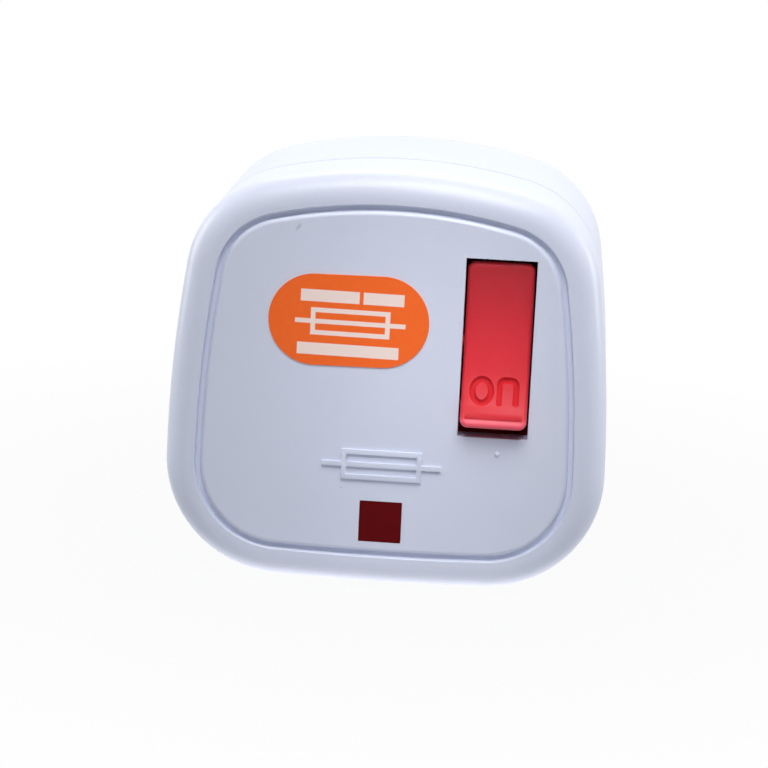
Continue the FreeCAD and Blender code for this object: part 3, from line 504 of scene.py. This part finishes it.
# Middle across and up, then half width and half height, in millimetres on the label
BARS = [(-2.25, 2.75, 3.4, 0.7), (3.95, 2.75, 2.35, 0.7), (0.05, -3.5, 5.9, 0.7)]
SYMBOL_BOX = (0.2, -0.25, 4.6, 1.6)
SYMBOL_HOLE = (0.2, -0.25, 4.05, 1.05)
SYMBOL_LINE = (0.2, -0.25, 6.4, 0.27)

film, tree = start_material("printed orange vinyl film")
place = add(tree, "ShaderNodeTexCoord").outputs["Object"]
flat = add(tree, "ShaderNodeMapping", {"Vector": place,
                                       "Location": [v * MM for v in LABEL_MIDDLE],
                                       "Rotation": (0, math.radians(LABEL_TURN), 0)},
           vector_type="TEXTURE")
axes = add(tree, "ShaderNodeSeparateXYZ", {0: flat.outputs[0]})
across, upward = axes.outputs["X"], axes.outputs["Z"]
outer = inside_box(tree, across, upward, SYMBOL_BOX, INK_EDGE)
hole = inside_box(tree, across, upward, SYMBOL_HOLE, INK_EDGE)
ink = add(tree, "ShaderNodeMath", {0: outer, 1: hole}, operation="SUBTRACT").outputs[0]
for box in [SYMBOL_LINE] + BARS:
    printed = inside_box(tree, across, upward, box, INK_EDGE)
    ink = add(tree, "ShaderNodeMath", {0: ink, 1: printed}, operation="MAXIMUM").outputs[0]
mottle = add(tree, "ShaderNodeTexNoise", {"Vector": place, "Scale": per_mm(MOTTLE_WIDTH),
                                          "Detail": 3.0})
orange = add(tree, "ShaderNodeMix", {0: mottle.outputs[0], 6: colour("#FC6A26"),
                                     7: colour("#FF712D")}, data_type="RGBA")
tint = add(tree, "ShaderNodeMix", {0: ink, 6: orange.outputs[2], 7: colour("#FCE6E0")},
           data_type="RGBA")
skin = add(tree, "ShaderNodeBump", {"Height": mottle.outputs[0], "Strength": 0.2,
                                    "Distance": 0.01 * MM})
shader = add(tree, "ShaderNodeBsdfPrincipled", {"Base Color": tint.outputs[2], "Roughness": 0.5,
                                                "IOR": 1.5, "Specular IOR Level": 0.2,
                                                "Normal": skin.outputs[0]})
end_material(tree, shader)
dress(film, "fuse_label")

# %% [markdown]
# ## Metals
#
# The pins, terminals and contacts are bare brass, pressed or machined and then tumbled, which leaves
# a soft gloss with fine marks along the bar. The fuse's caps are nickel plate, and the small screws
# and the spring are zinc-plated steel. All three share one recipe: a metal colour, a noise stretched
# along the pins' direction for the marks, and a broader one for tarnish. Anisotropic shading could
# draw the marks too, but a stretched noise also shows where the gloss breaks up.

# %% Brass, nickel and zinc plate
TARNISH_WIDTH = 3.0
GLOSS_SPREAD = 0.08


def metal(name, dark, light, roughness, mark_length, mark_width):
    # The marks' length along the pins and their width are in millimetres
    material, tree = start_material(name)
    place = add(tree, "ShaderNodeTexCoord").outputs["Object"]
    tarnish = add(tree, "ShaderNodeTexNoise", {"Vector": place, "Scale": per_mm(TARNISH_WIDTH),
                                               "Detail": 4.0, "Roughness": 0.6})
    tint = add(tree, "ShaderNodeMix", {0: tarnish.outputs[0], 6: colour(dark), 7: colour(light)},
               data_type="RGBA")
    drawn = add(tree, "ShaderNodeMapping", {"Vector": place,
                                            "Scale": (1.0, mark_width / mark_length, 1.0)})
    marks = add(tree, "ShaderNodeTexNoise", {"Vector": drawn.outputs[0],
                                             "Scale": per_mm(mark_width), "Detail": 3.0})
    gloss = add(tree, "ShaderNodeMapRange", {"Value": marks.outputs[0],
                                             "From Min": 0.3, "From Max": 0.7,
                                             "To Min": roughness - GLOSS_SPREAD,
                                             "To Max": roughness + GLOSS_SPREAD})
    skin = add(tree, "ShaderNodeBump", {"Height": marks.outputs[0], "Strength": 0.25,
                                        "Distance": 0.01 * MM})
    shader = add(tree, "ShaderNodeBsdfPrincipled", {"Base Color": tint.outputs[2], "Metallic": 1.0,
                                                    "Roughness": gloss.outputs[0],
                                                    "Normal": skin.outputs[0]})
    end_material(tree, shader)
    return material


brass = metal("tumbled bare brass", "#B98F4E", "#D9B673", 0.30, 4.0, 0.25)
nickel = metal("nickel plate", "#B9B4AA", "#D2CEC6", 0.20, 0.6, 0.3)
zinc = metal("zinc-plated steel", "#A3A6AB", "#C4C7CC", 0.34, 0.5, 0.25)
dress(brass, "earth_pin", "live_pin", "neutral_pin", "live_terminal", "live_terminal_screw",
      "neutral_terminal_screw", "earth_terminal_screw", "contact_arm", "common_contact",
      "line_contact", "fuse_clip_lower", "plunger", "cover_screw", "cover_insert")
dress(nickel, "fuse_cap_upper", "fuse_cap_lower")
dress(zinc, "plunger_spring", "grip_screw_left", "grip_screw_right", "neon_link")

# %% [markdown]
# ## Nylon, ceramic, lacquer and sleeving
#
# The sleeves of the two current pins are black nylon from a spark-eroded mould, and so is the cord
# grip. The rest is hidden until the plug is opened, and each piece still gets its own finish:
# unglazed ceramic for the fuse's body, dipped beige lacquer for the neon's resistor and white
# sleeving for its leads. All are matt, so one recipe with a grain width, a roughness and a depth
# covers them.

# %% Matt finishes
GRAINS_PER_CLOUD = 12


def matt(name, dark, light, grain_width, roughness, depth):
    # The grain's width and depth are in millimetres
    material, tree = start_material(name)
    place = add(tree, "ShaderNodeTexCoord").outputs["Object"]
    cloud = add(tree, "ShaderNodeTexNoise",
                {"Vector": place, "Scale": per_mm(grain_width * GRAINS_PER_CLOUD), "Detail": 3.0})
    grain = add(tree, "ShaderNodeTexNoise", {"Vector": place, "Scale": per_mm(grain_width),
                                             "Detail": 3.0})
    tint = add(tree, "ShaderNodeMix", {0: cloud.outputs[0], 6: colour(dark), 7: colour(light)},
               data_type="RGBA")
    skin = add(tree, "ShaderNodeBump", {"Height": grain.outputs[0], "Strength": 0.5,
                                        "Distance": depth * MM})
    shader = add(tree, "ShaderNodeBsdfPrincipled", {"Base Color": tint.outputs[2],
                                                    "Roughness": roughness, "IOR": 1.5,
                                                    "Normal": skin.outputs[0]})
    end_material(tree, shader)
    return material


nylon = matt("spark-eroded black nylon", "#17171A", "#232327", 0.25, 0.55, 0.02)
ceramic = matt("unglazed steatite ceramic", "#DCD6C6", "#ECE7DA", 0.3, 0.7, 0.02)
lacquer = matt("dipped beige lacquer", "#B0905C", "#C5A672", 0.8, 0.35, 0.03)
sleeving = matt("white fibre sleeving", "#D5D2C8", "#E6E4DC", 0.2, 0.7, 0.02)
dress(nylon, "live_pin_sleeve", "neutral_pin_sleeve", "cord_grip_bar")
dress(ceramic, "fuse_body")
dress(lacquer, "neon_resistor")
dress(sleeving, "neon_lead_live", "neon_lead_neutral")

# %% [markdown]
# ## Lamp glass
#
# The neon is blown from clear glass, which is never quite even. Transmission with glass's own IOR
# lets its inside show, and a broad, shallow noise bends the light as the blown wall does. Modelling
# the wavy wall would take a fine mesh for a lamp a few millimetres long.

# %% Lamp glass
WAVE_WIDTH = 2.5

glass, tree = start_material("blown clear glass")
place = add(tree, "ShaderNodeTexCoord").outputs["Object"]
wave = add(tree, "ShaderNodeTexNoise", {"Vector": place, "Scale": per_mm(WAVE_WIDTH),
                                        "Detail": 1.0})
skin = add(tree, "ShaderNodeBump", {"Height": wave.outputs[0], "Strength": 0.2,
                                    "Distance": 0.02 * MM})
shader = add(tree, "ShaderNodeBsdfPrincipled", {"Base Color": colour("#F3EFE6"), "Roughness": 0.03,
                                                "IOR": 1.47, "Transmission Weight": 0.85,
                                                "Normal": skin.outputs[0]})
end_material(tree, shader)
dress(glass, "neon_lamp")

# %% [markdown]
# ## Word sunk into the rocker
#
# The on side of the rocker carries its word in sunk strokes with a round bottom. A stroke is a curve
# with a round bevel, turned into a mesh and cut out of the rocker. Text could be set in a font
# instead, but a mould's letters have one even stroke with round ends, and few fonts do. The letters
# are drawn flat, in millimetres across and up, with the thickness of each point kept beside them:
# thinner points at the two ends give round ends.

# %% Flat letters
ROUND_END = [(0.0, 0.15), (0.06, 0.6), (0.16, 0.88), (0.3, 1.0)]
# Middle across, half width and half height
ROUND_LETTER = (-1.36, 1.08, 1.38)
# Left and right across, foot and top, and the radius of the two bends
ARCHED_LETTER = (0.7, 2.62, -1.72, 1.36, 0.62)


def ring(middle, half_width, half_height, count=40):
    turns = [2 * math.pi * i / count for i in range(count)]
    return [(middle + half_width * math.cos(t), half_height * math.sin(t), 1.0) for t in turns]


def arch(left, right, foot, top, corner, count=8):
    end = [(foot + rise, size) for rise, size in ROUND_END]
    path = [(left, height, size) for height, size in end]
    for middle, first in ((left + corner, math.pi), (right - corner, math.pi / 2)):
        turns = [first - math.pi / 2 * i / count for i in range(count + 1)]
        path += [(middle + corner * math.cos(t), top - corner + corner * math.sin(t), 1.0)
                 for t in turns]
    return path + [(right, height, size) for height, size in reversed(end)]


round_path = ring(*ROUND_LETTER)
arched_path = arch(*ARCHED_LETTER)
print("points in the letters:", len(round_path), len(arched_path))

# %% [markdown]
# ## Strokes as solids
#
# A curve with a round bevel becomes a tube when it is converted to a mesh, and its ends are filled.
# Most operators work on the active, selected object, so one small function picks a piece and leaves
# everything else alone. The tube's radius is about the depth of the sunk stroke, because the tubes
# lie with their middle line on the rocker's skin.

# %% Tubes for the strokes
STROKE_RADIUS = 0.4
STROKE_SMOOTHNESS = 4


def pick(piece):
    bpy.ops.object.select_all(action="DESELECT")
    piece.select_set(True)
    bpy.context.view_layer.objects.active = piece


def stroke(name, path, closed):
    curve = bpy.data.curves.new(name, "CURVE")
    curve.dimensions = "3D"
    curve.bevel_depth = STROKE_RADIUS * MM
    curve.bevel_resolution = STROKE_SMOOTHNESS
    curve.use_fill_caps = True
    line = curve.splines.new("POLY")
    line.points.add(len(path) - 1)
    for point, (across, upward, size) in zip(line.points, path):
        point.co = (across * MM, upward * MM, 0, 1)
        point.radius = size
    line.use_cyclic_u = closed
    shape = bpy.data.objects.new(name, curve)
    bpy.context.scene.collection.objects.link(shape)
    pick(shape)
    bpy.ops.object.convert(target="MESH")
    print(name, len(shape.data.polygons), "faces")
    return shape


letters = [stroke("round letter", round_path, True), stroke("arched letter", arched_path, False)]

# %% [markdown]
# ## Place of the word
#
# The rocker's front is hollow, so the word has to lean with it. Two rays shot at the rocker along +Y
# find its surface at the foot and the top of the word, and the three axes that follow from them lay
# the flat letters on it, raised by a hair so that the strokes don't cut too deep.

# %% Lay the letters on the rocker
WORD_X = 12.45
WORD_Z = -3.2
WORD_HALF_HEIGHT = 1.4
STROKE_RISE = 0.04
RAY_START_Y = -60.0


def surface_point(node, x, z):
    return node.ray_cast(Vector((x, RAY_START_Y, z)) * MM, Vector((0, 1, 0)))[1]


rocker = nodes["rocker_switch"]
below = surface_point(rocker, WORD_X, WORD_Z - WORD_HALF_HEIGHT)
above = surface_point(rocker, WORD_X, WORD_Z + WORD_HALF_HEIGHT)
word_up = (above - below).normalized()
word_across = Vector((1, 0, 0))
word_out = word_across.cross(word_up)
word_middle = (above + below) / 2 + word_out * STROKE_RISE * MM
word_place = Matrix.Translation(word_middle) @ Matrix(
    (word_across, word_up, word_out)).transposed().to_4x4()
for letter in letters:
    letter.matrix_world = word_place
bpy.context.view_layer.update()
print("word at", [round(v / MM, 2) for v in word_middle], "mm")

# %% [markdown]
# ## Cutting the word
#
# The built solid's mesh is loose triangles with split corners, and a boolean needs a closed shell.
# So the rocker is copied, the copy's doubles are merged, and the letters are cut out of the copy. It
# takes the rocker's place, while the solid underneath stays as it was built.

# %% Cut the letters out of a copy
MERGE_DISTANCE = 0.0005
SMOOTH_BELOW = math.radians(35)


def cut_or_join(piece, other, operation):
    change = piece.modifiers.new("change", "BOOLEAN")
    change.operation = operation
    change.solver = "EXACT"
    change.object = other
    bpy.ops.object.modifier_apply(modifier=change.name)
    bpy.data.objects.remove(other)


worded = rocker.copy()
worded.data = rocker.data.copy()
worded.name = "rocker_with_sunk_word"
bpy.context.scene.collection.objects.link(worded)
pick(worded)
bpy.ops.object.mode_set(mode="EDIT")
bpy.ops.mesh.select_all(action="SELECT")
bpy.ops.mesh.remove_doubles(threshold=MERGE_DISTANCE * MM)
bpy.ops.object.mode_set(mode="OBJECT")
for letter in letters:
    cut_or_join(worded, letter, "DIFFERENCE")
bpy.ops.object.shade_smooth_by_angle(angle=SMOOTH_BELOW)
print(worded.name, len(worded.data.polygons), "faces")

# %% [markdown]
# ## Finish of the word
#
# A face whose middle lies deeper than the skin belongs to a sunk stroke and gets the shaded matt
# red. The
# cut also splits the skin round the letters into long thin faces, and smooth shading over those
# shows streaks. The skin there therefore borrows its normals from the uncut rocker. Remeshing the
# rocker would even the faces out as well, but it would blur the letters' edges.

# %% Matt strokes with painted shade and borrowed normals
SKIN_DEPTH = 0.015
SKIN_FRONT_Y = -29.0
SKIN_LOW_Z = -5.6
SKIN_HIGH_Z = 6.0

worded.data.materials.clear()
# The second slot is the matt red whose darker colour is painted shade in the strokes
for red in (lip_highlight_red, sunk_shaded_red):
    worded.data.materials.append(red)
skin = set()
for face in worded.data.polygons:
    nearest = rocker.closest_point_on_mesh(face.center)[1]
    sunk = (nearest - face.center).length > SKIN_DEPTH * MM
    face.material_index = int(sunk)
    if not sunk:
        skin.update(face.vertices)
points = worded.data.vertices
near_word = [i for i in skin if SKIN_LOW_Z < points[i].co.z / MM < SKIN_HIGH_Z
             and points[i].co.y / MM < SKIN_FRONT_Y]
group = worded.vertex_groups.new(name="skin round the word")
group.add(near_word, 1.0, "REPLACE")

borrow = worded.modifiers.new("borrow normals", "DATA_TRANSFER")
borrow.object = rocker
borrow.use_loop_data = True
borrow.data_types_loops = {"CUSTOM_NORMAL"}
borrow.loop_mapping = "POLYINTERP_NEAREST"
borrow.vertex_group = group.name
bpy.ops.object.modifier_apply(modifier=borrow.name)
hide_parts("rocker_switch")
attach(worded, "rocker")
print("normals borrowed at", len(near_word), "vertices")

# %% [markdown]
# ## Raised symbol on the cover
#
# Under the label the cover's mould leaves a fine raised mark: here the same fuse symbol as on the
# label, a frame with a line through it. A plane is inset for the frame, its middle is deleted and
# the rest is pulled out into a ridge, with its root a little way into the cover. Four bars could be
# joined instead, but one inset gives four even sides at once.

# %% Frame of the symbol
FACE_Y = -32.0
MARK_X = -0.15
MARK_Z = -12.9
MARK_HALF_WIDTH = 4.7
MARK_HALF_HEIGHT = 1.8
MARK_STROKE = 0.58
MARK_HEIGHT = 0.26
MARK_ROOT = 0.1

bpy.ops.object.select_all(action="DESELECT")
bpy.ops.mesh.primitive_plane_add(
    size=2 * MM, location=(MARK_X * MM, (FACE_Y + MARK_ROOT) * MM, MARK_Z * MM),
    rotation=(math.pi / 2, 0, 0))
symbol = bpy.context.object
symbol.name = "raised_fuse_symbol"
symbol.scale = (MARK_HALF_WIDTH, MARK_HALF_HEIGHT, 1)
bpy.ops.object.transform_apply(location=True, rotation=True, scale=True)
bpy.ops.object.mode_set(mode="EDIT")
bpy.ops.mesh.select_all(action="SELECT")
bpy.ops.mesh.inset(thickness=MARK_STROKE * MM)
bpy.ops.mesh.delete(type="FACE")
bpy.ops.mesh.select_all(action="SELECT")
bpy.ops.mesh.extrude_region_move(
    TRANSFORM_OT_translate={"value": (0, -(MARK_ROOT + MARK_HEIGHT) * MM, 0)})
bpy.ops.mesh.select_all(action="SELECT")
bpy.ops.mesh.normals_make_consistent(inside=False)
bpy.ops.object.mode_set(mode="OBJECT")
print(symbol.name, "frame:", len(symbol.data.polygons), "faces")

# %% [markdown]
# ## Line through the symbol
#
# The line is one long bar, joined to the frame with a boolean so that the two are one skin. It is a
# hair lower than the frame, because a boolean is unsure of faces that lie exactly in one plane. A
# bevel then rounds the edges as a mould does.

# %% Join the line and soften the edges
MARK_LINE = 14.0
LINE_DROP = 0.002
MARK_SOFTNESS = 0.1
SOFT_BELOW = math.radians(50)

bpy.ops.object.select_all(action="DESELECT")
bpy.ops.mesh.primitive_cube_add(
    size=MM, location=(MARK_X * MM, (FACE_Y + (MARK_ROOT - MARK_HEIGHT) / 2) * MM, MARK_Z * MM))
line = bpy.context.object
line.scale = (MARK_LINE, MARK_ROOT + MARK_HEIGHT - LINE_DROP, MARK_STROKE)
bpy.ops.object.transform_apply(location=True, rotation=True, scale=True)

pick(symbol)
cut_or_join(symbol, line, "UNION")
soft = symbol.modifiers.new("soft", "BEVEL")
soft.width = MARK_SOFTNESS * MM
soft.segments = 2
soft.limit_method = "ANGLE"
bpy.ops.object.modifier_apply(modifier=soft.name)
bpy.ops.object.shade_smooth_by_angle(angle=SOFT_BELOW)
symbol.data.materials.append(urea)
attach(symbol, "housing")
print(symbol.name, len(symbol.data.polygons), "faces")

# %% [markdown]
# ## Moulding pip
#
# A small dome below the rocker is the mark of an ejector or a gate. A sphere that is sunk to its
# middle in the cover and flattened along the depth shows as such a dome, and it stays closed. Half a
# sphere would do, but its open side would leave the mesh with a hole.

# %% Moulding pip
PIP_X = 13.27
PIP_Z = -10.7
PIP_RADIUS = 0.32
PIP_FLATNESS = 0.75

bpy.ops.object.select_all(action="DESELECT")
bpy.ops.mesh.primitive_uv_sphere_add(segments=20, ring_count=10, radius=PIP_RADIUS * MM,
                                     location=(PIP_X * MM, FACE_Y * MM, PIP_Z * MM))
pip = bpy.context.object
pip.name = "moulding_pip"
pip.scale = (1.0, PIP_FLATNESS, 1.0)
bpy.ops.object.transform_apply(location=True, rotation=True, scale=True)
bpy.ops.object.shade_smooth()
pip.data.materials.append(urea)
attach(pip, "housing")
print(pip.name, len(pip.data.polygons), "faces")
